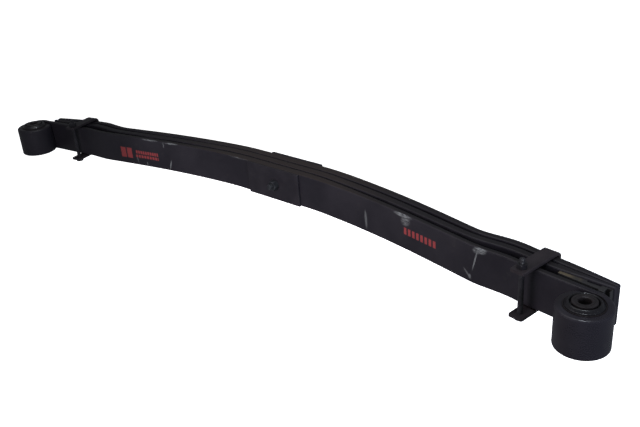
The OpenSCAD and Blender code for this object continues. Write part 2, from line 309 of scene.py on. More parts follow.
def smooth_line(node, up, side, limit=LEAF_REACH):
    """A smooth curve through those points on one side: the height at a distance from MID."""
    found = face_line(node, up)
    flat = [z for x, z in found.items() if abs(x) <= CLAMP_HALF + MM]
    line = {0.0: flat[0], round(CLAMP_HALF, 5): flat[0]}
    line.update({abs(x): z for x, z in found.items()
                 if side * x > CLAMP_HALF + MM and abs(x) < limit})
    xs = np.array(sorted(line))
    zs = np.array([line[x] for x in xs])
    secant = np.diff(zs) / np.diff(xs)
    slope = np.empty_like(xs)
    slope[1:-1] = (secant[1:] + secant[:-1]) / 2
    slope[0], slope[-1] = secant[0], secant[-1]
    slope[xs <= CLAMP_HALF + MM] = 0.0

    def height(x):
        i = int(np.clip(np.searchsorted(xs, x) - 1, 0, len(xs) - 2))
        h = xs[i + 1] - xs[i]
        t = (x - xs[i]) / h
        a, b = zs[i], zs[i + 1]
        if t > 1:
            return b + slope[i + 1] * (x - xs[i + 1])
        m, n = slope[i] * h, slope[i + 1] * h
        return (((2 * t - 3) * t * t + 1) * a + ((t - 2) * t + 1) * t * m
                + (3 - 2 * t) * t * t * b + (t - 1) * t * t * n)

    return height


def leaf_section(top, normal, thick, side, r_low=EDGE_R, r_top=EDGE_R, inset=0.0, r_far=None, cut=0.0):
    """A rounded rectangle across a leaf, as a loop of points.

    top is the point on the leaf's upper face, normal the face's normal there, both in X and Z.
    inset draws the section in all round, r_far rounds the far lower edge, and cut shortens the
    near side.
    """
    half = LEAF_HALF_W - inset
    depth = thick - 2 * inset
    r_top = min(r_top, 0.45 * depth)
    r_low, r_far = [min(r, 0.9 * depth - r_top) for r in (r_low, r_low if r_far is None else r_far)]
    support, steps = 5 * MM, 6                      # an extra point on each flat, beside its edge
    corners = [(1, r_low, -90), (1, r_top, 0), (-1, r_top, 90), (-1, r_far, 180)]
    loop = []
    for number, (sign, r, start) in enumerate(corners):
        low_side = number in (0, 3)
        cy = sign * (half - r) - (cut if sign > 0 else 0.0)
        ch = r if low_side else depth - r
        if number in (0, 2):
            loop.append((cy - sign * support, 0.0 if low_side else depth))
        for k in range(steps + 1):
            a = math.radians(start + 90 * k / steps)
            loop.append((cy + r * math.cos(a), ch + r * math.sin(a)))
        if number in (1, 3):
            loop.append((cy - sign * support, 0.0 if low_side else depth))
    low = top - normal * (thick - inset)
    return [(side * (low.x + normal.x * h), y, low.y + normal.y * h) for y, h in loop]


def leaf_run(node, side, stop, step=7 * MM):
    """(upper point, normal, thickness) along a leaf from MID outwards."""
    upper, lower = smooth_line(node, 1, side, stop + MM), smooth_line(node, -1, side, stop + MM)
    xs = [0.0, 50 * MM, 100 * MM] + list(np.linspace(CLAMP_HALF, stop, int((stop - CLAMP_HALF) / step)))
    run = []
    for x in xs:
        slope = (upper(x + MM) - upper(x - MM)) / (2 * MM) if x > CLAMP_HALF else 0.0
        normal = Vector((-slope, 1.0)).normalized()
        run.append((Vector((x, upper(x))), normal, (upper(x) - lower(x)) * normal.y))
    return run


def plain_leaf(name, node, end, stop):
    """One limb of the second or third leaf, cut square with a broken edge."""
    side = ENDS[end]
    run = leaf_run(node, side, stop)
    rows = [leaf_section(*part, side) for part in run[:-1]]
    top, normal, thick = run[-1]
    along = Vector((normal.y, -normal.x))
    for back, inset in ((1.2 * MM, 0.0), (0.35 * MM, 0.35 * MM), (0.0, 1.2 * MM)):
        rows.append(leaf_section(top - along * back - normal * inset, normal, thick, side, inset=inset))
    return limb_piece(name, rows)


def rolled_leaf(name, end):
    """One limb of the main leaf, with its end rolled into the eye."""
    side = ENDS[end]
    run = leaf_run("main_leaf", side, EYE.x - EYE_OUT - 3 * MM)
    rows = [leaf_section(*part, side) for part in run]

    # on from the last point in a straight line that touches the inside of the eye
    start, _, thick = run[-1]
    centre = Vector((EYE.x, EYE.z))
    gap = centre - start
    turn = math.atan2(gap.y, gap.x) - math.asin(EYE_R / gap.length)
    along = Vector((math.cos(turn), math.sin(turn)))
    normal = Vector((-along.y, along.x))
    length = math.sqrt(gap.length ** 2 - EYE_R ** 2)
    straight_steps = 8
    for k in range(1, straight_steps + 1):
        t = k / straight_steps
        edge_r = EDGE_R * (1 - t)
        rows.append(leaf_section(start + along * length * t, normal, thick + (EYE_T - thick) * t, side,
                                 edge_r + ROLL_NEAR_R * t, edge_r + ROLL_IN_R * t, 0.0,
                                 edge_r + ROLL_FAR_R * t))

    # and round the eye, where the near rim is ground back more and more over the first part
    begin, grind_over = turn - math.pi / 2, math.radians(95)

    def rolled(a, lean, inset=0.0):
        t = min(1.0, (a - begin) / grind_over)
        inside = centre + Vector((math.cos(a + lean), math.sin(a + lean))) * EYE_R
        outside = centre + Vector((math.cos(a), math.sin(a))) * EYE_OUT
        normal = (inside - outside).normalized()
        rows.append(leaf_section(inside - normal * inset, normal, (inside - outside).length, side,
                                 ROLL_NEAR_R, ROLL_IN_R, inset, ROLL_FAR_R,
                                 ROLL_CUT * t * t * (3 - 2 * t)))

    roll_steps, lean_from = 110, 0.86
    for k in range(1, roll_steps):
        t = k / roll_steps
        lean = ROLL_LEAN * max(0.0, (t - lean_from) / 0.14) ** 2
        rolled(begin + (ROLL_END - begin) * t, lean)
    for back, inset in ((1.0 * MM, 0.0), (0.3 * MM, 0.3 * MM), (0.0, 1.0 * MM)):
        rolled(ROLL_END - back / EYE_OUT, ROLL_LEAN, inset)
    return limb_piece(name, rows)


def limb_piece(name, rows):
    """A leaf's limb as a piece of its own, hung on no body."""
    material = "leaf_paint_marked" if name.startswith("main") else "leaf_paint"
    node = name.split("_")[0] + "_leaf"
    obj = piece(name, [grid(rows)], None, material, [node])
    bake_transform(obj)
    return obj


# ---------------------------------------------------------------- the clamp

def upright(x=0.0, y=0.0, z=0.0):
    return Matrix.Translation((x, y, z))


def clamp_plates():
    """The pads and the spacers. Their holes are the centre bolt's clearance, or clear its head."""
    for name, node, hole, corner in (
            ("top_plate", "top_pad", 7.5 * MM, 1.5 * MM),
            ("bottom_plate", "bottom_pad", 15 * MM, 1.5 * MM),
            ("upper_spacer", "centre_spacer_upper", 7.5 * MM, 2 * MM),
            ("lower_spacer", "centre_spacer_lower", 7.5 * MM, 2 * MM)):
        low, high = box(node)
        outline = rectangle(high.x - low.x, high.y - low.y, corner, (low.x + high.x) / 2 + MID.x)
        shell = moved(plate(outline, low.z, high.z, hole), upright(-MID.x))
        material = "spacer_shade_paint" if "spacer" in name else "plate_paint"
        piece(name, [shell], "axle_clamp", material, [node], bevel=1.2 * MM)


def centre_bolt():
    low, high = box("centre_bolt")
    nut_low, nut_high = box("centre_nut")
    head_r, shank_r = (high.x - low.x) / 2, 7 * MM
    dowel_r, chamfer, head_low = head_r - 2 * MM, 1.5 * MM, 0.3 * MM
    pad_high = box("bottom_pad")[1].z
    grip = nut_low.z - 4 * MM                       # where the thread starts
    profile = [(0, low.z), (dowel_r - chamfer, low.z), (dowel_r, low.z + chamfer), (dowel_r, head_low),
               (head_r, head_low), (head_r, pad_high), (shank_r, pad_high), (shank_r, grip), (0, grip)]
    shank = lathe(profile, 64, ring=False)
    stud = moved(thread(shank_r - 0.1 * MM, high.z - grip, 1.5 * MM), upright(z=grip))
    bolt = [moved(shell, upright(-MID.x)) for shell in (shank, stud)]
    piece("centre_bolt_and_dowel", bolt, "axle_clamp", "bolt_steel", ["centre_bolt"])
    nut = moved(hexagon(nut_high.y - nut_low.y, nut_high.z - nut_low.z, shank_r + 0.05 * MM),
                upright(-MID.x, 0, nut_low.z))
    piece("centre_bolt_nut", [nut], "axle_clamp", "bolt_steel", ["centre_nut"],
          bevel=0.25 * MM)


# ---------------------------------------------------------------- the bushes

def eye_matrix(side):
    """Turns a shell about Z into one about the eye's axis."""
    return Matrix.Translation((side * EYE.x, 0, EYE.z)) @ Matrix.Rotation(-math.pi / 2, 4, "X")


def mirrored(profile):
    """Half of a ring's section, outwards from its middle, with its mirror image."""
    return profile + [(r, -z) for r, z in reversed(profile)]


def bushes():
    """An outer sleeve, a rubber with a standing lip, and an inner sleeve with collars, in each eye."""
    half = LEAF_HALF_W
    sleeve_in = SLEEVE_OUT - 2.15 * MM
    sleeve = mirrored([(sleeve_in, half - 0.6 * MM), (sleeve_in + 0.4 * MM, half),
                       (SLEEVE_OUT - 0.2 * MM, half), (SLEEVE_OUT, half - 0.2 * MM)])
    sleeve = [(r, z - (SLEEVE_CUT if z > 0 else 0.0)) for r, z in sleeve]
    lip = [(16.05, -4), (22.2, -4), (22.9, -1.5), (24.0, 1.6), (25.0, 2.7), (26, 3), (27, 2.7),
           (28.0, 1.8), (29.2, 0.2), (30.2, -1.6), (RUBBER_OUT / MM, -3)]
    rubber = mirrored([(r * MM, half + z * MM) for r, z in fillet_open(lip, 1.2, 3)])
    face, core_r, collar_r, bore_r = CORE_HALF_L, 16 * MM, 21 * MM, 11 * MM
    core = mirrored([(bore_r, face - 1.2 * MM), (bore_r + 1.2 * MM, face), (15.0 * MM, face),
                     (15.3 * MM, face - 0.5 * MM), (15.9 * MM, face - 0.5 * MM), (16.2 * MM, face),
                     (collar_r - 1.3 * MM, face), (collar_r - 0.4 * MM, face - 0.4 * MM),
                     (collar_r, face - 1.3 * MM), (collar_r, face - 4 * MM), (core_r, face - 6 * MM)])
    for end, side in ENDS.items():
        spot = eye_matrix(side)
        piece(end + "_eye_outer_sleeve", [moved(lathe(sleeve), spot)], end + "_limb",
              "sleeve_steel", [end + "_bush_sleeve"])
        piece(end + "_eye_rubber", [moved(lathe(rubber), spot)], end + "_limb",
              "rubber", [end + "_bush_rubber"], sharp=60)
        piece(end + "_eye_inner_sleeve", [moved(lathe(core), spot)], end + "_bush_core",
              "core_steel", [end + "_bush_core"])


# ---------------------------------------------------------------- the rebound clips

CLIP_TILT = {"front": math.radians(-7.8), "rear": math.radians(12.5)}
BAND_W, BAND_T, BAND_CORNER = 30 * MM, 6 * MM, 6 * MM   # the strap's width, thickness and inner bend
BAND_IN = LEAF_HALF_W + 2.5 * MM                        # its inside, from the leaves' middle
EAR, EAR_CORNER = 15 * MM, 4 * MM                       # its height past the bolt's axis
CLIP_AF, CLIP_R = 17 * MM, 5 * MM                       # the bolt's hexagon and radius


def clip_matrix(end):
    """From the clip's own frame: the origin in the nut's middle, Y along the bolt, Z up the ears."""
    spot = middle(end + "_clip_nut")
    return Matrix.Translation((spot.x, 0, spot.z)) @ Matrix.Rotation(CLIP_TILT[end], 4, "Y")


def band_shell(depth):
    """A strap bent into a U, with square ears whose corners are rounded. The bolt's axis is Y."""
    mid = BAND_CORNER + BAND_T / 2
    arm = BAND_IN + BAND_T / 2
    steps = 8
    path = []                                       # (y, z, normal outwards y, z, half width)
    for k in range(steps + 1):
        a = math.radians(90 * (1 - k / steps))
        half = BAND_W / 2 - EAR_CORNER + EAR_CORNER * math.cos(a)
        path.append((arm, EAR - EAR_CORNER + EAR_CORNER * math.sin(a), 1, 0, half))
    for z in np.linspace(EAR - EAR_CORNER, -depth + BAND_CORNER, 12)[1:]:
        path.append((arm, z, 1, 0, BAND_W / 2))
    for k in range(1, steps + 1):
        a = math.radians(-90 * k / steps)
        c, s = math.cos(a), math.sin(a)
        path.append((BAND_IN - BAND_CORNER + mid * c, -depth + BAND_CORNER + mid * s, c, s, BAND_W / 2))
    whole = path + [(-y, z, -ny, nz, half) for y, z, ny, nz, half in reversed(path)]
    rows = []
    for y, z, ny, nz, half in whole:
        section = [(-half, -BAND_T / 2), (half, -BAND_T / 2), (half, BAND_T / 2), (-half, BAND_T / 2)]
        loop = fillet(section, min(1.1 * MM, 0.4 * half), 3)
        rows.append([(x, y + ny * t, z + nz * t) for x, t in loop])
    return grid(rows)


def clips():
    """A strap, its bolt and nut across the main leaf, and its rivet under the third, on each limb."""
    band_out = BAND_IN + BAND_T
    nut_h, head_h, stud, thread_in = 9 * MM, 6.4 * MM, 10 * MM, 8 * MM
    shank_l = 2 * band_out - thread_in
    along = Matrix.Rotation(-math.pi / 2, 4, "X")   # Z of a shell becomes the bolt's axis, +Y
    for end, side in ENDS.items():
        spot, body = clip_matrix(end), end + "_limb"
        tilt, low = CLIP_TILT[end], box(end + "_clip_band")[0]
        axis_z = spot.translation.z
        depth = (axis_z - low.z - BAND_W / 2 * math.sin(abs(tilt))) / math.cos(tilt) - BAND_T
        piece(end + "_clip_strap", [moved(band_shell(depth), spot)], body,
              "band_paint", [end + "_clip_band"])
        head = moved(hexagon(CLIP_AF, head_h), along @ upright(z=-band_out - head_h))
        shank = moved(lathe([(0, 0), (CLIP_R, 0), (CLIP_R, shank_l), (0, shank_l)], 48, ring=False),
                      along @ upright(z=-band_out))
        rod = moved(thread(CLIP_R - 0.1 * MM, thread_in + nut_h + stud, 1.75 * MM),
                    along @ upright(z=band_out - thread_in))
        piece(end + "_clip_through_bolt", [moved(shell, spot) for shell in (head, shank, rod)], body,
              "bolt_paint_lightened", [end + "_clip_bolt"])
        nut = moved(hexagon(CLIP_AF, nut_h, CLIP_R + 0.05 * MM), spot @ along @ upright(z=band_out))
        piece(end + "_clip_bolt_nut", [nut], body,
              "nut_paint_darkened", [end + "_clip_nut"], bevel=0.25 * MM)
        # the rivet's domed head under the strap, its shank, and its flatter head on the third leaf
        under = -depth - BAND_T
        leaf_x = abs(spot.translation.x) + (depth - 15 * MM) * math.sin(abs(tilt))
        top = (smooth_line("third_leaf", 1, side)(leaf_x) - axis_z) / math.cos(tilt) + 1 * MM
        domed = [(0, -4), (2, -3.9), (4, -3.6), (5.8, -2.9), (7.4, -1.8), (8.6, 0), (5, 0)]
        flatter = [(5, 0), (8, 0), (7.6, 0.6), (6.5, 1.25), (4.6, 1.8), (2.4, 2.1), (0, 2.2)]
        profile = [(r * MM, under + z * MM) for r, z in domed]
        profile += [(r * MM, top + z * MM) for r, z in flatter]
        piece(end + "_clip_strap_rivet", [moved(lathe(profile, 48, ring=False), spot)], body,
              "plate_paint", [end + "_clip_rivet"], sharp=50)


# ---------------------------------------------------------------- the tip liners

def front_liner_section(start, stop):
    """(X, height over the second leaf) round the front upper liner: its underside, then its top."""
    relief, lift, clear = 805 * MM, 4 * MM, 0.2 * MM        # it lifts off the leaf behind its heel
    heel, heel_h = (831 * MM, 841 * MM), 17 * MM
    web, lip, lip_h = 1.8 * MM, 2 * MM, 13 * MM
    base = [(x, clear) for x in np.linspace(start, relief, 6)]
    base += [(x, lift) for x in np.linspace(relief, heel[0], 6)]
    base += [(heel[0], clear), (stop, clear)]
    top = [(stop, lip_h), (stop - lip, lip_h), (stop - lip, web),
           (heel[1], web), (heel[1], heel_h), (heel[0], heel_h)]
    top += [(x, 7.2 * MM + 0.08 * (x - start)) for x in np.linspace(heel[0], start, 12)]
    return base + top


def rear_liner_section(start, stop):
    """The same for the rear upper liner, which is plain."""
    return ([(x, 0.2 * MM) for x in np.linspace(start, stop, 8)]
            + [(x, 3.9 * MM) for x in np.linspace(stop, start, 12)])


def liners():
    """The bars between the leaves at both tips. A stud through the second leaf holds the upper ones."""
    half = box("front_tip_liner_upper")[1].y
    stud_x, stud_r, stud_out, chamfer = 785 * MM, 6 * MM, 3 * MM, 1.5 * MM
    for end, side in ENDS.items():
        body = end + "_limb"
        second_top = smooth_line("second_leaf", 1, side)
        second_low = smooth_line("second_leaf", -1, side)
        third_top = smooth_line("third_leaf", 1, side)
        start, stop = sorted(abs(corner.x) for corner in box(end + "_tip_liner_upper"))
        section = front_liner_section if end == "front" else rear_liner_section
        outline = [(side * x, second_top(x) + h) for x, h in section(start, stop)]
        stud_low, stud_high = second_low(stud_x) + stud_out, second_top(stud_x) + stud_out
        stud = lathe([(0, stud_low), (stud_r - chamfer, stud_low), (stud_r, stud_low + 1.2 * MM),
                      (stud_r, stud_high), (0, stud_high)], 40, ring=False)
        piece(end + "_upper_liner", [prism(outline, half), moved(stud, upright(x=side * stud_x))], body,
              "liner", [end + "_tip_liner_upper"], bevel=0.5 * MM)
        start, stop = sorted(abs(corner.x) for corner in box(end + "_tip_liner_lower"))
        xs = list(np.linspace(start, stop, 8))
        outline = ([(side * x, third_top(x) + 0.2 * MM) for x in xs]
                   + [(side * x, second_low(x) - 0.3 * MM) for x in reversed(xs)])
        piece(end + "_lower_liner", [prism(outline, half)], body,
              "liner", [end + "_tip_liner_lower"], bevel=0.5 * MM)


# ---------------------------------------------------------------- materials

class Nodes:
    """Short names for building a material's node tree."""

    def __init__(self, name):
        self.material = bpy.data.materials.new(name)
        self.material.use_nodes = True
        self.tree = self.material.node_tree
        self.tree.nodes.clear()
        self.shader = self.add("ShaderNodeBsdfPrincipled")
        out = self.add("ShaderNodeOutputMaterial")
        self.link(self.shader.outputs["BSDF"], out.inputs["Surface"])
        MATERIALS[name] = self.material

    def add(self, kind, **settings):
        node = self.tree.nodes.new(kind)
        for key, value in settings.items():
            setattr(node, key, value)
        return node

    def link(self, a, b):
        self.tree.links.new(a, b)

    def fill(self, socket, value):
        if isinstance(value, bpy.types.NodeSocket):
            self.link(value, socket)
        else:
            socket.default_value = value

    def rest(self):
        """The rest position in metres, which stays put on the piece as the piece moves or bends."""
        return self.add("ShaderNodeAttribute", attribute_name="rest").outputs["Vector"]

    def axis(self, vector, name):
        split = self.add("ShaderNodeSeparateXYZ")
        self.link(vector, split.inputs[0])
        return split.outputs[name]

    def math(self, kind, a, b=0.0):
        node = self.add("ShaderNodeMath", operation=kind)
        self.fill(node.inputs[0], a)
        self.fill(node.inputs[1], b)
        return node.outputs[0]

    def scaled(self, vector, scale):
        node = self.add("ShaderNodeVectorMath", operation="MULTIPLY")
        self.fill(node.inputs[0], vector)
        node.inputs[1].default_value = scale
        return node.outputs[0]

    def noise(self, vector, scale, detail=4.0, rough=0.55):
        node = self.add("ShaderNodeTexNoise")
        self.fill(node.inputs["Vector"], vector)
        node.inputs["Scale"].default_value = scale
        node.inputs["Detail"].default_value = detail
        node.inputs["Roughness"].default_value = rough
        return node.outputs[0]

    def ramp(self, value, low, high, to_low=0.0, to_high=1.0):
        """A smooth step from to_low at low to to_high at high. It may fall, with low above high."""
        node = self.add("ShaderNodeMapRange", interpolation_type="SMOOTHSTEP")
        self.fill(node.inputs["Value"], value)
        limits = {"From Min": low, "From Max": high, "To Min": to_low, "To Max": to_high}
        for key, number in limits.items():
            node.inputs[key].default_value = number
        return node.outputs[0]

    def mix(self, factor, a, b):
        """A colour between a and b, each a colour socket or three numbers."""
        node = self.add("ShaderNodeMix", data_type="RGBA")
        self.fill(node.inputs["Factor"], factor)
        for name, colour in (("A", a), ("B", b)):
            socket = [s for s in node.inputs if s.name == name and s.type == "RGBA"][0]
            self.fill(socket, (*colour, 1.0) if isinstance(colour, tuple) else colour)
        return [s for s in node.outputs if s.type == "RGBA"][0]

    def bump(self, height, distance, strength=1.0, after=None):
        node = self.add("ShaderNodeBump")
        node.inputs["Strength"].default_value = strength
        node.inputs["Distance"].default_value = distance
        self.link(height, node.inputs["Height"])
        if after:
            self.link(after, node.inputs["Normal"])
        return node.outputs[0]

    def finish(self, colour, rough, normal, metallic=0.0, specular=0.5):
        self.fill(self.shader.inputs["Base Color"], colour)
        self.fill(self.shader.inputs["Roughness"], rough)
        self.fill(self.shader.inputs["Metallic"], metallic)
        self.shader.inputs["Specular IOR Level"].default_value = specular
        if normal is not None:
            self.link(normal, self.shader.inputs["Normal"])


# Where red marks and wear lie on the main leaf's upper face, from MID in metres.
# a mark: lowest and highest X, lowest and highest Y
BLOCK_MARK = (-0.530, -0.487, -0.022, 0.007)
LINE_MARKS = ((-0.476, -0.398, -0.006, 0.003), (-0.478, -0.398, -0.0175, -0.0095))
ROW_MARK = (0.405, 0.498, -0.0045, 0.0105)
# a scuff: its middle, its half length and half width, its turn, its strength, how broken it is
SCUFFS = (((0.404, 0.036), (0.030, 0.0055), 0.0, 0.65, 0.48),
          ((0.412, 0.026), (0.016, 0.013), 0.5, 0.5, 0.5),
          ((0.294, -0.010), (0.0045, 0.026), 0.05, 0.30, 0.38),
          ((0.604, 0.034), (0.018, 0.009), 0.2, 0.65, 0.50),
          ((0.595, 0.013), (0.0022, 0.031), -0.24, 0.45, 0.40),
          ((0.577, -0.023), (0.015, 0.0026), -0.75, 0.35, 0.42),
          ((0.583, -0.027), (0.004, 0.006), 0.0, 0.45, 0.42),
          ((-0.420, 0.0385), (0.030, 0.003), 0.0, 0.55, 0.48),
          ((-0.345, 0.0385), (0.026, 0.003), 0.05, 0.6, 0.48),
          ((-0.373, 0.031), (0.0016, 0.010), 0.0, 0.45, 0.4),
          ((-0.357, -0.022), (0.0022, 0.016), -0.3, 0.6, 0.4),
          ((-0.472, -0.024), (0.0020, 0.010), 0.2, 0.4, 0.4),
          ((-0.440, -0.031), (0.0020, 0.006), 0.0, 0.4, 0.4),
          ((-0.115, 0.0395), (0.045, 0.0022), 0.0, 0.35, 0.5))


def between(n, value, low, high, soft):
    """1 from low to high, with soft ends."""
    return n.math("MULTIPLY", n.ramp(value, low - soft, low + soft),
                  n.ramp(value, high - soft, high + soft, 1.0, 0.0))


def stripes(n, x, start, pitch, duty, soft):
    """1 on a row of bars along X."""
    turn = n.math("FRACT", n.math("DIVIDE", n.math("SUBTRACT", x, start), pitch))
    return between(n, turn, 0.5 - duty / 2, 0.5 + duty / 2, soft)


def red_marks(n, x, y):
    """Plain stencilled bars: a block and two broken lines at the rear, and a row at the front."""
    def bars(mark, pitch, duty, soft=0.06):
        x0, x1, y0, y1 = mark
        inside = n.math("MULTIPLY", between(n, x, x0, x1, 0.7 * MM), between(n, y, y0, y1, 0.7 * MM))
        return n.math("MULTIPLY", inside, stripes(n, x, x0, pitch, duty, soft))

    total = bars(BLOCK_MARK, 21.5 * MM, 0.8, 0.03)
    for mark, pitch in zip(LINE_MARKS, (8 * MM, 9.5 * MM)):
        total = n.math("MAXIMUM", total, bars(mark, pitch, 0.72))
    return n.math("MAXIMUM", total, bars(ROW_MARK, 11.5 * MM, 0.62, 0.05))


def scuff(n, x, y, noise, spot, size, turn, strength, bite):
    """A rubbed patch: an ellipse broken up by noise."""
    c, s = math.cos(turn), math.sin(turn)
    dx, dy = n.math("SUBTRACT", x, spot[0]), n.math("SUBTRACT", y, spot[1])
    u = n.math("ADD", n.math("MULTIPLY", dx, c / size[0]), n.math("MULTIPLY", dy, s / size[0]))
    v = n.math("SUBTRACT", n.math("MULTIPLY", dy, c / size[1]), n.math("MULTIPLY", dx, s / size[1]))
    reach = n.math("ADD", n.math("MULTIPLY", u, u), n.math("MULTIPLY", v, v))
    patch = n.ramp(reach, 1.0, 0.15)
    broken = n.ramp(noise, bite - 0.1, bite + 0.12)
    return n.math("MULTIPLY", n.math("MULTIPLY", patch, broken), strength)


def wear_mask(n, x, y, streak, specks):
    """The strongest scuff at each place. Long scuffs break up along X."""
    wear = None
    for spot, size, turn, strength, bite in SCUFFS:
        noise = streak if size[0] > size[1] else specks
        mask = scuff(n, x, y, noise, spot, size, turn, strength, bite)
        wear = mask if wear is None else n.math("MAXIMUM", wear, mask)
    return wear


def facing(n, axis):
    """How far a face looks along an axis."""
    return n.axis(n.add("ShaderNodeNewGeometry").outputs["Normal"], axis)


def side_faces(n):
    """1 on faces that look along the eye axes, either way."""
    return n.ramp(n.math("ABSOLUTE", facing(n, "Y")), 0.6, 0.95)


def painted_rear_shade(n, x, base):
    """Painted shade: the colour gets darker towards the rear eye, where less light falls."""
    return n.mix(n.ramp(x, -400 * MM, -580 * MM, 0.0, 0.55), base, (0.0035, 0.0033, 0.0045))


def leaf_paint(name, marked):
    """Satin black paint over hot-rolled steel. The marked one is the main leaf's."""
    n = Nodes(name)
    rest = n.rest()
    x, y = n.axis(rest, "X"), n.axis(rest, "Y")
    cloud = n.noise(rest, 9.0, 5.0)
    fine = n.noise(rest, 420.0, 3.0)
    drawn = n.noise(n.scaled(rest, (6.0, 260.0, 260.0)), 1.0, 4.0)
    base = n.mix(n.ramp(cloud, 0.35, 0.7), (0.0108, 0.0096, 0.0128), (0.0168, 0.0150, 0.0190))
    dust = n.math("MULTIPLY", n.ramp(n.noise(rest, 60.0, 6.0, 0.7), 0.56, 0.8), 0.35)
    base = n.mix(dust, base, (0.035, 0.032, 0.030))
    rough = n.math("ADD", n.ramp(cloud, 0.3, 0.7, 0.40, 0.50), n.ramp(fine, 0.3, 0.7, -0.03, 0.04))
    from_mid = n.math("ABSOLUTE", x)
    if marked:
        # the rolled eyes are smoother and glossier
        eye = n.ramp(from_mid, 780 * MM, 800 * MM)
        rough = n.math("SUBTRACT", rough, n.math("MULTIPLY", eye, 0.15))
        smooth = n.math("SUBTRACT", 1.0, n.math("MULTIPLY", eye, 0.85))
        fine, drawn = n.math("MULTIPLY", fine, smooth), n.math("MULTIPLY", drawn, smooth)
        # red marks with ragged edges, and scuffs, on faces that look up
        streak = n.noise(n.scaled(rest, (90.0, 700.0, 90.0)), 1.0, 5.0, 0.7)
        specks = n.noise(rest, 800.0, 4.0, 0.7)
        up = n.ramp(facing(n, "Z"), 0.3, 0.6)
        ragged = n.math("ADD", x, n.ramp(specks, 0.2, 0.8, -0.5 * MM, 0.5 * MM))
        red = n.math("MULTIPLY", red_marks(n, ragged, y), up)
        red = n.math("MULTIPLY", red, n.ramp(specks, 0.28, 0.5, 0.35, 1.0))
        base = n.mix(red, base, (0.20, 0.034, 0.036))
        wear = wear_mask(n, x, y, streak, specks)
        base = n.mix(n.math("MULTIPLY", wear, up), base, (0.22, 0.23, 0.235))
        rough = n.math("ADD", rough, n.math("MULTIPLY", wear, 0.2))
    # painted light on the long edges: warmer and lighter near the clamp, and painted shade, darker than
    # the faces, out towards the eyes; then painted shade darker towards the rear eye
    edge_light_and_shade = n.mix(n.ramp(from_mid, 120 * MM, 420 * MM),
                 (0.0265, 0.0190, 0.0165), (0.0085, 0.0072, 0.0080))
    edge_light_mask = n.math("MULTIPLY", side_faces(n), n.ramp(from_mid, 810 * MM, 780 * MM, 0.0, 0.75))
    base = painted_rear_shade(n, x, n.mix(edge_light_mask, base, edge_light_and_shade))
    normal = n.bump(drawn, 0.06 * MM, 0.5)
    normal = n.bump(fine, 0.03 * MM, 0.5, normal)
    n.finish(base, rough, normal, specular=0.28)


def plate_paint(name, dark, light):
    """Black paint on the pads, the spacers and the clips' straps."""
    n = Nodes(name)
    rest = n.rest()
    cloud, fine = n.noise(rest, 22.0, 5.0), n.noise(rest, 500.0, 3.0)
    base = n.mix(n.ramp(cloud, 0.35, 0.7), dark, light)
    dust = n.math("MULTIPLY", n.ramp(n.noise(rest, 130.0, 6.0, 0.7), 0.57, 0.8), 0.25)
    base = n.mix(dust, base, (0.045, 0.042, 0.040))
    # painted shade, darker towards the rear eye
    base = painted_rear_shade(n, n.axis(rest, "X"), base)
    rough = n.ramp(cloud, 0.3, 0.7, 0.42, 0.54)
    n.finish(base, rough, n.bump(fine, 0.06 * MM, 0.6), specular=0.28)


def bolt_steel(name, dark, light, metallic):
    """Oiled or painted steel of the bolts and nuts."""
    n = Nodes(name)
    rest = n.rest()
    grain = n.noise(rest, 260.0, 5.0, 0.6)
    cloud = n.noise(rest, 55.0, 3.0)
    # painted shade, darker towards the rear eye
    base = painted_rear_shade(n, n.axis(rest, "X"), n.mix(n.ramp(cloud, 0.35, 0.65), dark, light))
    rough = n.ramp(grain, 0.3, 0.7, 0.32, 0.46)
    n.finish(base, rough, n.bump(grain, 0.06 * MM, 0.5), metallic=metallic, specular=0.4)


def sleeve_steel(name, dark, light, rough_low, rough_high):
    """Painted turned steel of the bushes' sleeves."""
    n = Nodes(name)
    rest = n.rest()
    cloud = n.noise(rest, 45.0, 4.0)
    turned = n.noise(rest, 330.0, 5.0, 0.65)
    base = n.mix(n.ramp(cloud, 0.35, 0.7), dark, light)
    rough = n.ramp(turned, 0.3, 0.7, rough_low, rough_high)
    n.finish(base, rough, n.bump(turned, 0.04 * MM, 0.5), metallic=0.2, specular=0.4)


def rubber():
    n = Nodes("rubber")
    rest = n.rest()
    cloud, fine = n.noise(rest, 70.0, 3.0), n.noise(rest, 900.0, 3.0)
    base = n.mix(n.ramp(cloud, 0.35, 0.7), (0.0050, 0.0046, 0.0056), (0.0080, 0.0074, 0.0088))
    n.finish(base, n.ramp(cloud, 0.3, 0.7, 0.24, 0.30), n.bump(fine, 0.01 * MM, 0.3), specular=0.45)


def liner():
    """Moulded liner: tan on its sides where the front one starts, painted over elsewhere; its top face
    there is kept dark as painted shade.
    """
    n = Nodes("liner")
    rest = n.rest()
    x = n.axis(rest, "X")
    ragged = n.math("ADD", x, n.ramp(n.noise(rest, 90.0, 5.0), 0.3, 0.7, -6 * MM, 6 * MM))
    cloud = n.ramp(n.noise(rest, 40.0, 4.0), 0.35, 0.7)
    tan = n.mix(cloud, (0.070, 0.056, 0.036), (0.048, 0.039, 0.026))
    # only the side faces show tan: the top face, under the main leaf, is dark as painted shade
    bare_with_shaded_top = n.math("MULTIPLY", side_faces(n), n.ramp(n.axis(rest, "Z"), 128 * MM, 134 * MM))
    bare_with_shaded_top = n.math("MULTIPLY", bare_with_shaded_top, n.ramp(x, 0.0, 100 * MM))
    bare_with_shaded_top = n.math("MULTIPLY", bare_with_shaded_top, n.ramp(ragged, 800 * MM, 774 * MM))
    fine = n.noise(rest, 600.0, 3.0)
    n.finish(n.mix(bare_with_shaded_top, (0.018, 0.017, 0.018), tan), n.ramp(fine, 0.3, 0.7, 0.5, 0.62),
             n.bump(fine, 0.05 * MM, 0.5), specular=0.35)


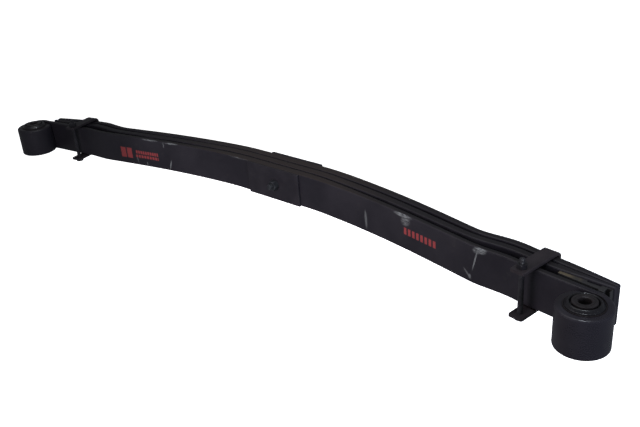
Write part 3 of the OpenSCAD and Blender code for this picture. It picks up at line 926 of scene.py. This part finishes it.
def floor_material():
    """A white table that shines by itself, as under a cut-out."""
    n = Nodes("floor")
    spot = n.add("ShaderNodeTexCoord").outputs["Object"]
    base = n.mix(n.noise(spot, 1.5, 2.0), (0.92, 0.92, 0.92), (0.94, 0.94, 0.94))
    n.finish(base, 0.9, None, specular=0.1)
    n.shader.inputs["Emission Color"].default_value = (1.0, 1.0, 1.0, 1.0)
    n.shader.inputs["Emission Strength"].default_value = 1.0


# ---------------------------------------------------------------- floor, light and camera

def studio():
    """The floor, a pale even world and four area lights."""
    floor_material()
    mesh = bpy.data.meshes.new("floor")
    size = 30.0
    corners = [(-size, -size), (size, -size), (size, size), (-size, size)]
    mesh.from_pydata([(x, y, cad_low.z) for x, y in corners], [], [(0, 1, 2, 3)])
    mesh.materials.append(MATERIALS["floor"])
    floor = bpy.data.objects.new("floor", mesh)
    bpy.context.scene.collection.objects.link(floor)
    floor.visible_glossy = floor.visible_diffuse = False

    world = bpy.data.worlds.new("studio")
    world.use_nodes = True
    background = world.node_tree.nodes["Background"]
    background.inputs["Color"].default_value = (0.88, 0.93, 1.0, 1.0)
    background.inputs["Strength"].default_value = 0.14
    bpy.context.scene.world = world

    def area(name, spot, aim, size, power, colour):
        data = bpy.data.lights.new(name, "AREA")
        data.shape, data.size, data.energy, data.color = "SQUARE", size, power, colour
        light = bpy.data.objects.new(name, data)
        bpy.context.scene.collection.objects.link(light)
        light.location = spot
        light.rotation_euler = (Vector(aim) - Vector(spot)).to_track_quat("-Z", "Y").to_euler()
        return light

    # the face and front lights brighten the paint without a glossy reflection
    face = area("face", (0.12, 0.25, 1.1), (0.08, 0, 0.15), 0.8, 14.5, (1.0, 0.96, 1.0))
    area("overhead", (-0.2, 2.0, 0.5), (0.0, 0, 0.15), 1.6, 10, (1.0, 0.98, 0.96))
    area("glint", (0.94, 1.55, 0.45), (0.82, 0, 0.2), 0.25, 12.5, (0.86, 0.93, 1.0))
    front = area("front", (2.5, 0.35, 0.65), (0.85, 0, 0.2), 0.9, 47, (0.78, 0.88, 1.0))
    face.visible_glossy = front.visible_glossy = False
    bpy.context.scene.view_settings.view_transform = "Standard"


def camera():
    """Where the photograph was taken from, with the spring's eye axes upright in the picture."""
    data = bpy.data.cameras.new("camera")
    data.sensor_width, data.lens = 36.0, 43.81
    cam = bpy.data.objects.new("camera", data)
    bpy.context.scene.collection.objects.link(cam)
    # the place, from the front eye's centre, and the turns were fitted to the photograph
    place = MID + EYE + Vector((0.4123, 0.7281, 1.0316))
    turn = Matrix.Identity(4)
    for angle, axis in ((43.226, "Y"), (-25.649, "X"), (-4.413, "Z")):
        turn = turn @ Matrix.Rotation(math.radians(angle), 4, axis)
    cam.matrix_world = Matrix.Translation(place) @ turn
    data.clip_start, data.clip_end = 0.01, 100.0
    bpy.context.scene.camera = cam


# ---------------------------------------------------------------- everything

def paints():
    leaf_paint("leaf_paint_marked", True)
    leaf_paint("leaf_paint", False)
    plate_paint("plate_paint", (0.0112, 0.0099, 0.0128), (0.0168, 0.0150, 0.0185))
    plate_paint("band_paint", (0.0140, 0.0112, 0.0135), (0.0205, 0.0165, 0.0188))
    # the spacers wear the plates' paint, made much darker as painted shade in the gaps between the
    # leaves
    plate_paint("spacer_shade_paint", (0.0040, 0.0036, 0.0040), (0.0060, 0.0055, 0.0060))
    bolt_steel("bolt_steel", (0.018, 0.019, 0.022), (0.050, 0.052, 0.059), 0.55)
    # the clip bolts and their nuts wear one paint: the bolts' copy is lighter as painted light, the
    # nuts' copy darker as painted shade
    bolt_steel("bolt_paint_lightened", (0.0090, 0.0083, 0.0100), (0.0170, 0.0160, 0.0190), 0.0)
    bolt_steel("nut_paint_darkened", (0.0052, 0.0047, 0.0058), (0.0105, 0.0097, 0.0118), 0.0)
    sleeve_steel("sleeve_steel", (0.0072, 0.0054, 0.0062), (0.0108, 0.0082, 0.0092), 0.30, 0.62)
    sleeve_steel("core_steel", (0.0105, 0.0086, 0.0094), (0.0175, 0.0148, 0.0160), 0.34, 0.50)
    rubber()
    liner()


def leaves():
    for end, side in ENDS.items():
        rolled_leaf("main_leaf_" + end, end)
        for name in ("second", "third"):
            low, high = box(name + "_leaf")
            stop = high.x if side > 0 else -low.x
            plain_leaf(name + "_leaf_" + end, name + "_leaf", end, stop)


def build():
    paints()
    studio()
    camera()
    leaves()
    clamp_plates()
    centre_bolt()
    bushes()
    clips()
    liners()


build()
